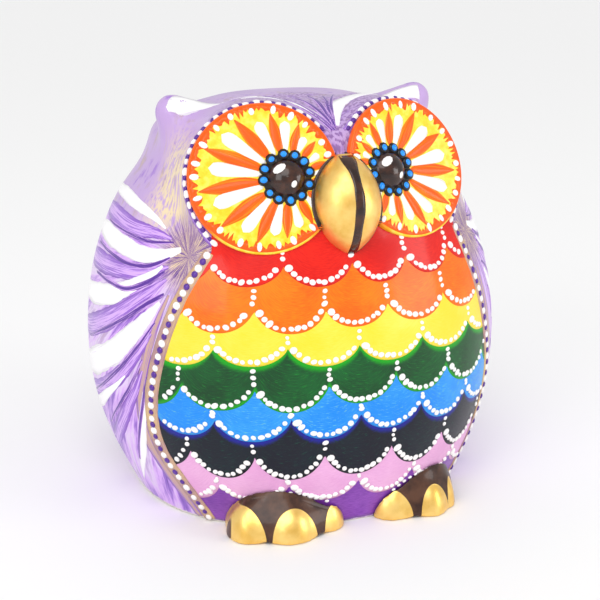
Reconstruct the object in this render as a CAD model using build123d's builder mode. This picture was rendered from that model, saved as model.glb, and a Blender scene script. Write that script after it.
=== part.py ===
"""Owl coin bank: a hollow slip-cast body with applied relief and a rubber stopper in its base.

Millimetres. The owl faces -Y, +Z is up, and the origin is on the table under the middle of the body.
Left and right are the owl's own: its left side is +X.
"""

from math import cos, pi, radians, sin, tan
from build123d import *
import os

os.makedirs("parts", exist_ok=True)

side_names = {1: "left", -1: "right"}

# Driving dimensions
total_height = 150.0
body_width = 156.0
body_depth = 142.4
wall = 5.0

# The body's plan at each level: height, width and depth as shares of the driving dimensions,
# how far its middle stands behind the origin, and how square the plan is (2 is an ellipse).
body_levels = [
    (0.000, 0.790, 0.860, 0.8, 2.15),
    (0.090, 0.877, 0.925, 0.8, 2.15),
    (0.200, 0.955, 0.975, 0.8, 2.15),
    (0.320, 0.996, 1.000, 0.8, 2.15),
    (0.440, 0.996, 1.000, 0.8, 2.15),
    (0.560, 0.960, 0.950, 1.0, 2.2),
    (0.665, 0.890, 0.868, 1.4, 2.3),
    (0.760, 0.790, 0.782, 0.8, 2.4),
]
# Above the last level the head closes in a rounded crown, drawn as one quarter of a rounded arch
shoulder_level = (0.845, 0.682, 0.700, -1.2, 2.5)
crown_share = 0.986
crown_squareness = 2.3
crown_turns = (0.0, 22.0, 42.0, 59.0, 72.0, 82.0)
outline_points = 20

# Base: a foot ring to stand on, a recess inside it, and the hole that empties the bank
foot_ring_width = 10.0
base_recess = 4.0
base_plate = 6.0
hole_diameter = 34.0

# Inside, the hollow starts on the base plate
hollow_bottom = base_recess + base_plate
hollow_bottom_level = (hollow_bottom / total_height, 0.855, 0.900, 0.8, 2.15)

# Coin slot, level, through the back of the head
slot_length = 38.0
slot_height = 5.0
slot_level = 0.80 * total_height

# Ear tufts, each a blunt cone that leans outwards and runs into its round tip
ear_root = (24.0, -5.0, 118.0)
ear_taper = 30.6
ear_tip_radius = 6.4
ear_tip = (47.2, -8.5, total_height - ear_tip_radius)

# Eye discs, each on a flat cheek of the face that turns outwards and leans back. The clay is
# modelled by hand, so the owl's right disc is a little larger than its left one.
disc_radius = {"left": 24.8, "right": 25.8}
disc_aside = {"left": 25.6, "right": 26.8}
disc_centre_y = -47.0
disc_centre_z = 124.4
disc_yaw = 15.0
disc_lean = 20.0
disc_proud = 2.0
disc_edge_round = 0.9
cheek_rim = 0.9
cheek_depth = 20.0
cheek_spread = 8.0

# Pupils, low glossy domes set towards the beak
pupil_inset = 7.8
pupil_radius = 6.4
pupil_height = 3.2

# Beak, a pointed almond standing out from the face
beak_top = (0.0, -52.5, 133.2)
beak_tip = (0.0, -59.0, 97.8)
beak_radius = 11.8
beak_blunt = 1.2

# Feet: low domes against the body's foot, each with three toes along its front.
# The owl's left foot is set a little further back than its right one.
foot_centre = {"left": (26.5, -49.0), "right": (23.5, -50.5)}
foot_half_width = {"left": 18.5, "right": 20.5}
foot_half_depth = 17.2
foot_height = 24.0
toe_names = ["inner", "middle", "outer"]
toe_places = {"left": (17.0, 29.8, 37.6), "right": (9.8, 24.5, 38.0)}
toe_fronts = {"left": (-67.2, -69.2, -64.4), "right": (-66.8, -72.0, -66.2)}
toe_half_widths = {"left": (9.4, 8.0, 5.2), "right": (7.6, 9.8, 7.8)}
toe_half_depth = 9.5
toe_height = 13.0
toe_drop = 1.0

# Stopper: a soft plug with a flange under the base plate and a bar to pull it by
stopper_clearance = 0.08
stopper_height = 13.0
stopper_taper = 1.2
flange_diameter = 42.0
flange_thickness = 2.4
stopper_wall = 3.2
grip_diameter = 24.0
grip_depth = 3.2
grip_bar_width = 4.0
flange_round = 0.8


def superellipse(half_width, half_depth, middle, squareness):
    """Points round one level of the body, starting at its right and going anticlockwise."""
    points = []
    for step in range(outline_points):
        turn = 2.0 * pi * step / outline_points
        across = abs(cos(turn)) ** (2.0 / squareness)
        along = abs(sin(turn)) ** (2.0 / squareness)
        x = half_width * across if cos(turn) >= 0.0 else -half_width * across
        y = half_depth * along if sin(turn) >= 0.0 else -half_depth * along
        points.append((x, y + middle))
    return points


def level_outline(level, inset):
    """One level of the body's outline, drawn this far inside the outer surface."""
    share_up, share_wide, share_deep, middle, squareness = level
    half_width = body_width * share_wide / 2.0 - inset
    half_depth = body_depth * share_deep / 2.0 - inset
    Spline(*superellipse(half_width, half_depth, middle, squareness), periodic=True)


def crown_levels(inset):
    """Levels that close the head in a rounded arch, this far inside the outer surface."""
    start, wide, deep, middle, squareness = shoulder_level
    rise = crown_share - start - inset / total_height
    levels = []
    for turn in crown_turns:
        shrink = cos(radians(turn)) ** (2.0 / crown_squareness)
        climb = sin(radians(turn)) ** (2.0 / crown_squareness)
        half_wide = (wide - 2.0 * inset / body_width) * shrink
        half_deep = (deep - 2.0 * inset / body_depth) * shrink
        levels.append((start + rise * climb, half_wide, half_deep, middle, squareness))
    return levels


def face_plane(side, forward):
    """The plane of one eye disc, this far in front of its cheek. The plane's x runs outwards."""
    middle = (side * disc_aside[side_names[side]], disc_centre_y, disc_centre_z)
    yaw = radians(disc_yaw)
    lean = radians(disc_lean)
    outward = (side * sin(yaw) * cos(lean), -cos(yaw) * cos(lean), sin(lean))
    across = (cos(yaw), side * sin(yaw), 0.0)
    return Plane(origin=middle, x_dir=across, z_dir=outward).offset(forward)


def ear_plane(side, along):
    """A plane across one ear tuft, this far up from its root."""
    direction = Vector(*ear_tip) - Vector(*ear_root)
    leaning = (side * direction.X, direction.Y, direction.Z)
    return Plane(origin=(side * ear_root[0], ear_root[1], ear_root[2]), z_dir=leaning).offset(along)


# The cone meets its round tip along the circle where their slopes agree
ear_length = (Vector(*ear_tip) - Vector(*ear_root)).length + ear_tip_radius * sin(radians(ear_taper))
ear_end_radius = ear_tip_radius * cos(radians(ear_taper))
ear_root_radius = ear_end_radius + ear_length * tan(radians(ear_taper))

# Plain form of the head and body, before the cheeks and ear tufts
with BuildPart() as plain_form:
    for level in body_levels + crown_levels(0.0):
        with BuildSketch(Plane.XY.offset(level[0] * total_height)):
            with BuildLine():
                level_outline(level, 0.0)
            make_face()
    loft()

# Outer form: everything that the clay's outer surface encloses
with BuildPart() as outer_form:
    add(plain_form.part)
for side, side_name in side_names.items():
    with BuildPart() as cheek:
        with BuildSketch(face_plane(side, 0.0)):
            Circle(disc_radius[side_name] + cheek_rim)
        with BuildSketch(face_plane(side, -cheek_depth)):
            Circle(disc_radius[side_name] + cheek_spread)
        loft()
    with BuildPart() as ear:
        with BuildSketch(ear_plane(side, 0.0)):
            Circle(ear_root_radius)
        with BuildSketch(ear_plane(side, ear_length)):
            Circle(ear_end_radius)
        loft()
        with Locations((side * ear_tip[0], ear_tip[1], ear_tip[2])):
            Sphere(ear_tip_radius)
    with outer_form:
        add(cheek.part)
        add(ear.part)

# Hollow inside the body
with BuildPart() as hollow:
    for level in [hollow_bottom_level] + body_levels[2:]:
        with BuildSketch(Plane.XY.offset(level[0] * total_height)):
            with BuildLine():
                level_outline(level, wall)
            make_face()
    for level in crown_levels(wall):
        with BuildSketch(Plane.XY.offset(level[0] * total_height)):
            with BuildLine():
                level_outline(level, 0.0)
            make_face()
    loft()

# Body shell, with its recess, stopper hole and coin slot
with BuildPart() as body_shell:
    add(outer_form.part)
    add(hollow.part, mode=Mode.SUBTRACT)
    with BuildSketch():
        with BuildLine():
            level_outline(body_levels[0], foot_ring_width)
        make_face()
    extrude(amount=base_recess, mode=Mode.SUBTRACT)
    with BuildSketch():
        Circle(hole_diameter / 2.0)
    extrude(amount=hollow_bottom + 1.0, mode=Mode.SUBTRACT)
    with BuildSketch(Plane.XZ):
        with Locations((0.0, slot_level)):
            SlotOverall(slot_length, slot_height)
    extrude(amount=-body_depth, mode=Mode.SUBTRACT)
body_shell.part.label = "body_shell"
export_step(body_shell.part, "parts/body_shell.step")

# Eye discs, raised plates that follow the cheeks, and the pupils on them
discs = {}
for side, side_name in side_names.items():
    with BuildPart() as eye_disc:
        with BuildSketch(face_plane(side, 0.0)):
            Circle(disc_radius[side_name])
        extrude(amount=disc_proud)
        outward_axis = Axis(face_plane(side, 0.0).origin, face_plane(side, 0.0).z_dir)
        fillet(eye_disc.faces().sort_by(outward_axis)[-1].edges(), disc_edge_round)
        add(plain_form.part, mode=Mode.SUBTRACT)
    eye_disc.part.label = f"eye_disc_{side_name}"
    export_step(eye_disc.part, f"parts/eye_disc_{side_name}.step")
    discs[side_name] = eye_disc.part

    front = face_plane(side, disc_proud)
    pupil_middle = front.from_local_coords((-side * pupil_inset, 0.0, 0.0))
    pupil_profile = Plane(origin=pupil_middle, x_dir=front.x_dir, z_dir=front.x_dir.cross(front.z_dir))
    dome_radius = (pupil_radius**2 + pupil_height**2) / (2.0 * pupil_height)
    with BuildPart() as pupil:
        with BuildSketch(pupil_profile):
            with Locations((0.0, pupil_height - dome_radius)):
                Circle(dome_radius)
            Rectangle(pupil_radius, pupil_height, align=(Align.MIN, Align.MIN), mode=Mode.INTERSECT)
        revolve(axis=Axis(pupil_middle, front.z_dir))
    pupil.part.label = f"pupil_{side_name}"
    export_step(pupil.part, f"parts/pupil_{side_name}.step")

# Beak
beak_middle = (Vector(*beak_top) + Vector(*beak_tip)) * 0.5
beak_axis = Vector(*beak_top) - Vector(*beak_tip)
beak_half_length = beak_axis.length / 2.0
arc_radius = (beak_half_length**2 + beak_radius**2) / (2.0 * beak_radius)
tip_height = beak_half_length - beak_blunt
tip_radius = (arc_radius**2 - tip_height**2) ** 0.5 - (arc_radius - beak_radius)
beak_plane = Plane(origin=beak_middle, x_dir=beak_axis.cross(Vector(1, 0, 0)), z_dir=(1, 0, 0))
with BuildPart() as beak:
    with BuildSketch(beak_plane):
        with BuildLine():
            ThreePointArc((tip_radius, -tip_height), (beak_radius, 0.0), (tip_radius, tip_height))
            Polyline(
                (tip_radius, tip_height),
                (0.0, tip_height),
                (0.0, -tip_height),
                (tip_radius, -tip_height),
            )
        make_face()
    revolve(axis=Axis(beak_middle, beak_axis))
    add(outer_form.part, mode=Mode.SUBTRACT)
    for disc in discs.values():
        add(disc, mode=Mode.SUBTRACT)
beak.part.label = "beak"
export_step(beak.part, "parts/beak.step")

# Feet and toes
for side, side_name in side_names.items():
    foot_x = side * foot_centre[side_name][0]
    foot_y = foot_centre[side_name][1]
    toes = []
    toe_sizes = zip(toe_names, toe_places[side_name], toe_fronts[side_name], toe_half_widths[side_name])
    for name, aside, front_y, half_width in toe_sizes:
        with BuildPart() as toe:
            Sphere(1.0)
            scale(by=(half_width, toe_half_depth, toe_height + toe_drop))
        toes.append((name, Pos(side * aside, front_y + toe_half_depth, -toe_drop) * toe.part))
    with BuildPart() as foot_form:
        Sphere(1.0)
        scale(by=(foot_half_width[side_name], foot_half_depth, foot_height))
    with BuildPart() as foot:
        add(Pos(foot_x, foot_y, 0.0) * foot_form.part)
        split(bisect_by=Plane.XY, keep=Keep.TOP)
        add(outer_form.part, mode=Mode.SUBTRACT)
    foot.part.label = f"foot_{side_name}"
    export_step(foot.part, f"parts/foot_{side_name}.step")
    neighbour = foot.part
    for name, toe_form in toes:
        with BuildPart() as toe:
            add(toe_form)
            split(bisect_by=Plane.XY, keep=Keep.TOP)
            add(outer_form.part, mode=Mode.SUBTRACT)
            add(foot.part, mode=Mode.SUBTRACT)
            add(neighbour, mode=Mode.SUBTRACT)
        neighbour = toe.part
        toe.part.label = f"toe_{side_name}_{name}"
        export_step(toe.part, f"parts/toe_{side_name}_{name}.step")

# Stopper
plug_radius = hole_diameter / 2.0 - stopper_clearance
flange_bottom = base_recess - flange_thickness
with BuildPart() as stopper:
    with BuildSketch(Plane.XZ):
        with BuildLine():
            Polyline(
                (0.0, flange_bottom),
                (flange_diameter / 2.0, flange_bottom),
                (flange_diameter / 2.0, base_recess),
                (plug_radius, base_recess),
                (plug_radius, hollow_bottom),
                (plug_radius - stopper_taper, flange_bottom + stopper_height),
                (plug_radius - stopper_wall, flange_bottom + stopper_height),
                (plug_radius - stopper_wall, flange_bottom + 2.0 * stopper_wall),
                (0.0, flange_bottom + 2.0 * stopper_wall),
                close=True,
            )
        make_face()
    revolve(axis=Axis.Z)
    rim = stopper.edges().filter_by(GeomType.CIRCLE).group_by(Axis.Z)[0]
    fillet(rim, flange_round)
    with BuildSketch(Plane.XY.offset(flange_bottom)):
        Circle(grip_diameter / 2.0)
        Rectangle(grip_diameter, grip_bar_width, mode=Mode.SUBTRACT)
    extrude(amount=grip_depth, mode=Mode.SUBTRACT)
stopper.part.label = "stopper"
export_step(stopper.part, "parts/stopper.step")
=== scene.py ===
"""A hand-painted owl coin bank: its ceramic body, its painted feathers and face, and its stopper."""

import random
from math import atan2, cos, degrees, hypot, pi, radians, sin, sqrt

import bmesh
import bpy
from mathutils import Matrix, Vector, noise
from mathutils.bvhtree import BVHTree


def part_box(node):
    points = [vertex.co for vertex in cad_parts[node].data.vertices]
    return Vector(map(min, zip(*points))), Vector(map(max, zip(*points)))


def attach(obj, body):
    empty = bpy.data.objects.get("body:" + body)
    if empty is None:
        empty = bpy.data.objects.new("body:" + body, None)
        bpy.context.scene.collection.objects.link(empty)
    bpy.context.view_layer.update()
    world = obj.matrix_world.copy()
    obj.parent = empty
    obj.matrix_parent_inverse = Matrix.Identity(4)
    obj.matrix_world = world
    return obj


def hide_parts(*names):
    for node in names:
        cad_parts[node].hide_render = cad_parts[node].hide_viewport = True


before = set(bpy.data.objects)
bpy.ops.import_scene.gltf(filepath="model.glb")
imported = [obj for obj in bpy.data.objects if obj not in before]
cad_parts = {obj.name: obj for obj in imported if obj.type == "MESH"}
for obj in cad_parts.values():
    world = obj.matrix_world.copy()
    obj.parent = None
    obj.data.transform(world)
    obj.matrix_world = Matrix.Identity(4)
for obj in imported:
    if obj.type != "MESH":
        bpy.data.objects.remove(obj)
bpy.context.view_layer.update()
mm = 0.001


# --- The ceramic body ---------------------------------------------------------------------------
# The bank is slip-cast earthenware, about 5 mm thick. Its seams are sponged soft before firing, so
# every crease between head, cheeks and ear tufts is rounded. The inside and the base stay unglazed.

clay_grain = 1.3 * mm
body_middle = Vector((0.0, 0.8 * mm, 70.0 * mm))
paint_room = 0.35 * mm
base_top = 4.6 * mm


def add_object(name, bm):
    """A new object made from this bmesh, with smooth faces."""
    mesh = bpy.data.meshes.new(name)
    for face in bm.faces:
        face.smooth = True
    bm.to_mesh(mesh)
    bm.free()
    piece = bpy.data.objects.new(name, mesh)
    bpy.context.scene.collection.objects.link(piece)
    return piece


def lay(name, bm, paint):
    """A new piece of the fired bank, in this paint."""
    piece = add_object(name, bm)
    piece.data.materials.append(paint)
    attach(piece, "bank")
    return piece


def repaint(node, paint):
    """A CAD piece that keeps its shape, in this paint."""
    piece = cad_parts[node]
    piece.data.materials.clear()
    piece.data.materials.append(paint)


def cast(name, nodes, grain):
    """One clay surface over these nodes, with the joins between them closed."""
    bm = bmesh.new()
    for node in nodes:
        bm.from_mesh(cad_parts[node].data)
    bmesh.ops.remove_doubles(bm, verts=bm.verts, dist=0.01 * mm)
    rough = add_object(name + "_rough", bm)
    remesh = rough.modifiers.new("clay", "REMESH")
    remesh.mode = "VOXEL"
    remesh.voxel_size = grain
    cast_mesh = bpy.data.meshes.new_from_object(rough.evaluated_get(bpy.context.evaluated_depsgraph_get()))
    bpy.data.objects.remove(rough)
    bm = bmesh.new()
    bm.from_mesh(cast_mesh)
    return bm


def sponge(bm, verts, passes):
    """Rounds all the edges a little, as a damp sponge does."""
    for turn in range(passes):
        bmesh.ops.smooth_vert(
            bm, verts=verts, factor=0.5, use_axis_x=True, use_axis_y=True, use_axis_z=True
        )


def fill_creases(bm, verts, passes):
    """Brushes slip into the creases: clay is added in the hollows and none is taken from the rest."""
    bm.normal_update()
    outward = [vert.normal.copy() for vert in verts]
    for turn in range(passes):
        before = [vert.co.copy() for vert in verts]
        sponge(bm, verts, 1)
        for vert, old, normal in zip(verts, before, outward):
            if (vert.co - old).dot(normal) < 0.0:
                vert.co = old


body_form = cast("painted_body", ["body_shell"], clay_grain)
body_form.normal_update()
head_clay = []
for vert in body_form.verts:
    outside = vert.normal.dot(vert.co - body_middle) > 0.0
    near_slot = vert.co.y > 38.0 * mm and abs(vert.co.x) < 26.0 * mm
    if outside and vert.co.z > 88.0 * mm and not near_slot:
        head_clay.append(vert)
fill_creases(body_form, head_clay, 70)
sponge(body_form, body_form.verts[:], 2)
body_form.normal_update()
bare = []
for vert in body_form.verts:
    inside = vert.normal.dot(vert.co - body_middle) < 0.0
    under = vert.co.z < base_top and vert.normal.z < -0.6
    bare.append(1.0 if inside or under else 0.0)
    vert.co -= vert.normal * paint_room * min(1.0, vert.co.z / base_top)
painted_body = add_object("painted_body", body_form)
bare_clay = painted_body.data.attributes.new("bare_clay", "FLOAT", "POINT")
bare_clay.data.foreach_set("value", bare)

skin_form = bmesh.new()
skin_form.from_mesh(painted_body.data)
skin = BVHTree.FromBMesh(skin_form)
skin_form.free()


def on_body(turn, height, lift=0.0):
    """The point of the body's surface at this turn from the front, in degrees, and height in mm."""
    outward = Vector((sin(radians(turn)), -cos(radians(turn)), 0.0))
    start = Vector((body_middle.x, body_middle.y, height * mm)) + outward * 150.0 * mm
    place, normal, face, distance = skin.ray_cast(start, -outward)
    return place + normal * lift


def nearest_on_body(place, lift=0.0):
    """The point of the body's surface nearest to this place."""
    found, normal, face, distance = skin.find_nearest(place)
    return found + normal * lift, normal


# Where a point lies in the sweep of a wing: the turn about the wing's root beside the chin, and the
# distance from it, so that the brushwork on the sides and back can follow the feathers
wing_root_turn = 50.0
wing_root_height = 99.0
turn_length = 1.28

sweep = []
reach = []
for vert in painted_body.data.vertices:
    turn = degrees(atan2(abs(vert.co.x), -(vert.co.y - body_middle.y)))
    back = (turn - wing_root_turn) * turn_length
    down = wing_root_height - vert.co.z / mm
    sweep.append(degrees(atan2(down, back)))
    reach.append(hypot(back, down))
painted_body.data.attributes.new("sweep", "FLOAT", "POINT").data.foreach_set("value", sweep)
painted_body.data.attributes.new("reach", "FLOAT", "POINT").data.foreach_set("value", reach)


# --- The ground coat ----------------------------------------------------------------------------
# Over a lilac ground the painter drags half-dry violet, mauve and pale gold brushes along the
# feathers, and down the sides of the head. A clear gloss varnish covers all the paint.


class Finish:
    """A material and short ways to add its nodes."""

    def __init__(self, name):
        self.material = bpy.data.materials.new(name)
        self.material.use_nodes = True
        self.tree = self.material.node_tree
        self.shader = self.tree.nodes["Principled BSDF"]

    def node(self, kind, **values):
        made = self.tree.nodes.new("ShaderNode" + kind)
        for key, value in values.items():
            setattr(made, key, value)
        return made

    def link(self, source, target):
        if isinstance(source, bpy.types.NodeSocket):
            self.tree.links.new(source, target)
        else:
            target.default_value = source

    def math(self, operation, first, second=0.0, third=0.0):
        made = self.node("Math", operation=operation)
        self.link(first, made.inputs[0])
        self.link(second, made.inputs[1])
        self.link(third, made.inputs[2])
        return made.outputs[0]

    def blend(self, share, first, second):
        made = self.node("Mix", data_type="RGBA")
        self.link(share, made.inputs["Factor"])
        self.link(first, made.inputs["A"])
        self.link(second, made.inputs["B"])
        return made.outputs["Result"]

    def step(self, value, low, high):
        """0 below low, 1 above high, and smooth between them."""
        made = self.node("MapRange", interpolation_type="SMOOTHSTEP")
        self.link(value, made.inputs["Value"])
        made.inputs["From Min"].default_value = low
        made.inputs["From Max"].default_value = high
        return made.outputs["Result"]

    def fade(self, value, low, high):
        """1 below low, 0 above high, and smooth between them."""
        return self.math("SUBTRACT", 1.0, self.step(value, low, high))

    def ramp(self, value, stops):
        made = self.node("ValToRGB")
        self.link(value, made.inputs["Fac"])
        while len(made.color_ramp.elements) < len(stops):
            made.color_ramp.elements.new(0.5)
        for element, (position, colour) in zip(made.color_ramp.elements, stops):
            element.position = position
            element.color = colour
        return made.outputs["Color"]

    def noise(self, vector, scale, detail=3.0, roughness=0.55):
        made = self.node("TexNoise")
        self.link(vector, made.inputs["Vector"])
        made.inputs["Scale"].default_value = scale
        made.inputs["Detail"].default_value = detail
        made.inputs["Roughness"].default_value = roughness
        return made.outputs["Fac"]

    def stretched(self, *sizes):
        """A place whose three parts are each a value times a size."""
        made = self.node("CombineXYZ")
        for slot, (value, size) in zip(made.inputs, sizes):
            self.link(self.math("MULTIPLY", value, size), slot)
        return made.outputs["Vector"]

    def split(self, vector):
        made = self.node("SeparateXYZ")
        self.link(vector, made.inputs["Vector"])
        return made.outputs["X"], made.outputs["Y"], made.outputs["Z"]

    def attribute(self, name):
        return self.node("Attribute", attribute_name=name).outputs["Fac"]

    def place(self):
        return self.node("TexCoord").outputs["Object"]

    def along(self):
        return self.node("TexCoord").outputs["UV"]

    def bump(self, height, depth):
        made = self.node("Bump")
        made.inputs["Strength"].default_value = 0.6
        made.inputs["Distance"].default_value = depth
        self.link(height, made.inputs["Height"])
        self.link(made.outputs["Normal"], self.shader.inputs["Normal"])

    def varnish(self, roughness=0.38, coat=0.3):
        """A clear gloss coat over the paint."""
        self.shader.inputs["Roughness"].default_value = roughness
        self.shader.inputs["Specular IOR Level"].default_value = 0.2
        self.shader.inputs["Coat Weight"].default_value = coat
        self.shader.inputs["Coat Roughness"].default_value = 0.12
        self.shader.inputs["Coat IOR"].default_value = 1.5


def colour(red, green, blue):
    """A paint colour from its printed shade, 0 to 255."""
    return tuple((part / 255.0) ** 2.2 for part in (red, green, blue)) + (1.0,)


lilac = colour(190, 160, 212)
pale_lilac = colour(222, 202, 236)
pink_lilac = colour(214, 168, 240)
violet = colour(146, 100, 200)
deep_violet = colour(92, 55, 150)
mauve = colour(178, 150, 168)
pale_gold = colour(238, 214, 150)
earthenware = colour(232, 226, 214)

ground = Finish("lilac_ground")
x, y, z = ground.split(ground.place())
wing_streaks = ground.noise(
    ground.stretched(
        (ground.attribute("sweep"), 0.16),
        (ground.attribute("reach"), 0.018),
        (ground.math("SIGN", x), 3.0),
    ),
    1.0,
    detail=5.0,
    roughness=0.65,
)
wing_paint = ground.ramp(
    wing_streaks,
    [
        (0.30, deep_violet),
        (0.40, violet),
        (0.47, pink_lilac),
        (0.54, pale_lilac),
        (0.60, lilac),
        (0.70, mauve),
    ],
)
head_streaks = ground.noise(
    ground.stretched((x, 170.0), (y, 170.0), (z, 14.0)),
    1.0,
    detail=5.0,
    roughness=0.6,
)
head_paint = ground.ramp(
    head_streaks,
    [(0.30, violet), (0.44, lilac), (0.56, lilac), (0.66, mauve), (0.82, pale_gold)],
)
outer_paint = ground.blend(ground.step(z, 0.101, 0.112), wing_paint, head_paint)
glint_streaks = ground.noise(
    ground.stretched((x, 900.0), (y, 900.0), (z, 60.0)),
    1.0,
    detail=4.0,
)

# Pale gold is rubbed on between the eye disc and the wing, and violet close beside the disc. The
# turns round the head are in radians from the front.
round_head = ground.math("ARCTAN2", ground.math("ABSOLUTE", x), ground.math("MULTIPLY", y, -1.0))
past_disc = ground.step(round_head, 0.80, 0.94)
before_back = ground.fade(round_head, 1.10, 1.40)
above_wing = ground.step(z, 0.100, 0.114)
below_ear = ground.fade(z, 0.128, 0.144)
gold_patch = ground.math("MULTIPLY", past_disc, before_back)
gold_patch = ground.math("MULTIPLY", gold_patch, ground.math("MULTIPLY", above_wing, below_ear))
gold_patch = ground.math("MULTIPLY", gold_patch, ground.step(glint_streaks, 0.38, 0.54))
outer_paint = ground.blend(gold_patch, outer_paint, colour(232, 212, 172))
by_disc = ground.fade(round_head, 0.82, 1.00)
by_disc = ground.math("MULTIPLY", by_disc, ground.step(glint_streaks, 0.44, 0.60))
outer_paint = ground.blend(by_disc, outer_paint, colour(140, 106, 166))

# At the wing's root, violet and gold show through each other in fine dry streaks
specks = ground.noise(
    ground.stretched((ground.attribute("sweep"), 0.45), (ground.attribute("reach"), 0.12), (x, 200.0)),
    1.0,
    detail=5.0,
    roughness=0.75,
)
root_paint = ground.ramp(
    specks,
    [(0.38, deep_violet), (0.46, colour(130, 96, 138)), (0.53, mauve), (0.62, pale_gold)],
)
root_reach = ground.math("MULTIPLY_ADD", specks, 14.0, ground.attribute("reach"))
at_root = ground.fade(root_reach, 13.0, 24.0)
outer_paint = ground.blend(at_root, outer_paint, root_paint)

# The back is plain lilac, a little cloudy
back_paint = ground.ramp(
    ground.noise(ground.place(), 26.0, detail=2.0),
    [(0.35, colour(176, 146, 204)), (0.55, lilac), (0.70, colour(204, 178, 222))],
)
at_back = ground.step(round_head, 1.75, 2.25)
outer_paint = ground.blend(at_back, outer_paint, back_paint)
surface = ground.blend(ground.attribute("bare_clay"), outer_paint, earthenware)
ground.link(surface, ground.shader.inputs["Base Color"])
ground.varnish()
ground.bump(wing_streaks, 0.15 * mm)
painted_body.data.materials.append(ground.material)
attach(painted_body, "bank")
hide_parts("body_shell")


# --- The belly's feathers -----------------------------------------------------------------------
# Eight rows of scallops, one flat colour to a row, from red under the chin to purple at the feet.
# Each row is brushed on over the top of the row below it, from the foot upwards.

film = 0.4 * mm
row_step = 0.04 * mm
feather_turn = 20.6

# Each side's edge of the belly, as turns from the front and heights, from the chin to the foot
belly_edges = {
    -1: [(44.0, 101.0), (50.5, 86.0), (56.0, 66.0), (59.5, 46.0), (59.0, 30.0), (53.0, 14.0), (48.0, 1.0)],
    1: [(43.0, 103.0), (46.0, 86.0), (50.0, 64.0), (53.5, 46.0), (53.5, 30.0), (50.0, 14.0), (46.0, 1.0)],
}

# Each row: its paint, the height of its notches, how deep its scallops hang, whether its notches stand
# under the middle of the row above, and how much wider its scallops grow towards the owl's right
feather_rows = [
    ("purple", 0.0, 0.0, 0.0, 0.0),
    ("pink", 18.5, 7.5, 0.0, 0.04),
    ("navy", 31.0, 9.0, 0.5, 0.02),
    ("blue", 44.6, 8.0, 0.0, 0.03),
    ("green", 56.4, 8.4, 0.5, 0.04),
    ("yellow", 70.0, 6.8, 0.0, 0.03),
    ("orange", 82.6, 7.2, 0.5, 0.04),
    ("red", 97.0, 7.2, 0.0, 0.10),
]


def through(points, share):
    """The point this share of the way along a smooth line through the points."""
    place = share * (len(points) - 1)
    span = min(int(place), len(points) - 2)
    t = place - span
    before = points[max(span - 1, 0)]
    first = points[span]
    second = points[span + 1]
    after = points[min(span + 2, len(points) - 1)]
    made = []
    for a, b, c, d in zip(before, first, second, after):
        made.append(b + 0.5 * t * (c - a + t * (2 * a - 5 * b + 4 * c - d + t * (3 * (b - c) + d - a))))
    return made


def belly_limit(side, height):
    """How far the belly's paint goes round to this side at this height, in degrees."""
    low = 0.0
    high = 1.0
    for halving in range(18):
        middle = (low + high) / 2.0
        if through(belly_edges[side], middle)[1] > height:
            low = middle
        else:
            high = middle
    return side * through(belly_edges[side], low)[0]


class Row:
    """One row of scallops: where its notches are, and how low it hangs at any turn."""

    def __init__(self, name, notch_height, depth, stagger, lean, seed):
        rand = random.Random(seed)
        self.name = name
        self.notches = []
        for count in range(-4, 5):
            turn = (count + stagger) * feather_turn * (1.0 - 0.018 * abs(count)) + rand.uniform(-0.8, 0.8)
            turn -= lean * abs(turn)
            self.notches.append((turn, notch_height + rand.uniform(-0.7, 0.7)))
        self.depths = [depth * rand.uniform(0.9, 1.08) for gap in self.notches]

    def hang(self, turn):
        """The height of the row's lower edge at this turn."""
        spans = zip(self.notches, self.notches[1:], self.depths)
        for (left, left_height), (right, right_height), depth in spans:
            if left <= turn <= right:
                share = (turn - left) / (right - left)
                sag = (1.0 - abs(2.0 * share - 1.0) ** 2.2) ** 0.72
                return left_height + (right_height - left_height) * share - depth * sag
        return self.notches[0][1]


def crossing(edge, side_share, low, high):
    """Where the line at this share between the belly's two sides meets a row's edge."""
    for halving in range(16):
        middle = (low + high) / 2.0
        turn = belly_limit(-1, middle) * (1.0 - side_share) + belly_limit(1, middle) * side_share
        if middle > edge(turn):
            high = middle
        else:
            low = middle
    return (low + high) / 2.0


def face_outward(bm, centre):
    """Turns a sheet of paint so that it faces away from the clay."""
    bmesh.ops.recalc_face_normals(bm, faces=bm.faces)
    for face in bm.faces:
        if face.normal.dot(face.calc_center_median() - centre) < 0.0:
            face.normal_flip()


def lay_film(bm, centre=body_middle, thickness=film):
    """Gives a sheet of paint its thickness, down into the clay."""
    face_outward(bm, centre)
    bm.normal_update()
    under = bm.faces[:]
    sunk = [(vert, vert.normal.copy()) for vert in bm.verts]
    bmesh.ops.extrude_face_region(bm, geom=under, use_keep_orig=True)
    bmesh.ops.reverse_faces(bm, faces=under)
    for vert, normal in sunk:
        vert.co -= normal * thickness


def brushed(name, dark, light, rim=None, fleck=None, streak=3.0):
    """Flat paint with the marks of the brush in it, following the piece's own lines."""
    paint = Finish(name)
    across, along, flat = paint.split(paint.along())
    marks = paint.noise(
        paint.stretched((across, 0.35), (along, streak), (flat, 0.0)),
        1.0,
        detail=4.0,
        roughness=0.6,
    )
    clouds = paint.noise(paint.place(), 60.0, detail=2.0)
    shade = paint.blend(paint.step(paint.math("ADD", marks, clouds), 0.75, 1.35), dark, light)
    if fleck:
        shade = paint.blend(paint.step(marks, 0.58, 0.72), shade, fleck)
    if rim:
        frayed = paint.math("MULTIPLY_ADD", marks, 3.0, paint.attribute("rim"))
        shade = paint.blend(paint.step(frayed, 2.0, 4.0), rim, shade)
    paint.link(shade, paint.shader.inputs["Base Color"])
    paint.varnish()
    paint.bump(marks, 0.12 * mm)
    return paint.material


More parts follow.
